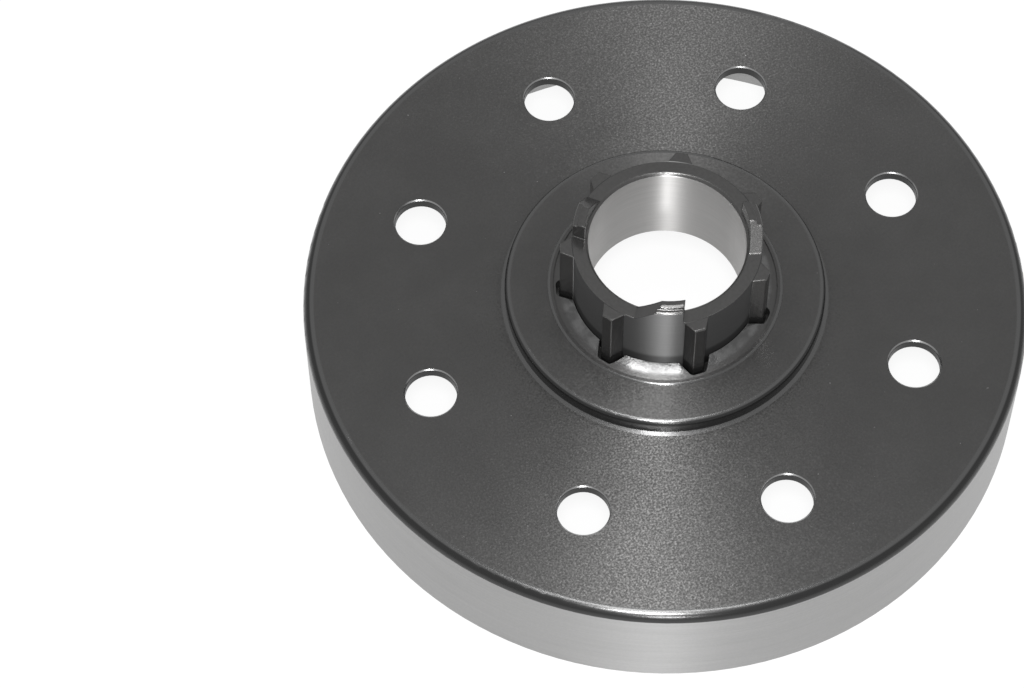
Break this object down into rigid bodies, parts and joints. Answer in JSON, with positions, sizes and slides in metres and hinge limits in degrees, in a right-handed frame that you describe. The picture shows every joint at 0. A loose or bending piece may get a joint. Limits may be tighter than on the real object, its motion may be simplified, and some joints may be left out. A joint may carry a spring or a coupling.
{
  "type": "chainsaw clutch drum",
  "caption": "Pressed steel chainsaw clutch drum with a ring of vent holes and a splined hub for a loose rim sprocket, with ramped drive dogs on its end.",
  "frame": {"origin": "on the bore axis, in the plane of the open rim that the drum rests on", "axes": "+Z along the bore, from the open rim up through the hub; +X through the first vent hole"},
  "size_m": [0.0654, 0.0654, 0.0219],
  "materials": {
    "cup_steel": "dark oxide skin, turned bright on the outer wall",
    "hub_steel": "hardened and darkened, ground bright in the bore"
  },
  "bodies": {
    "root": {"drum_cup": "cup_steel", "splined_hub": "hub_steel"}
  },
  "joints": []
}
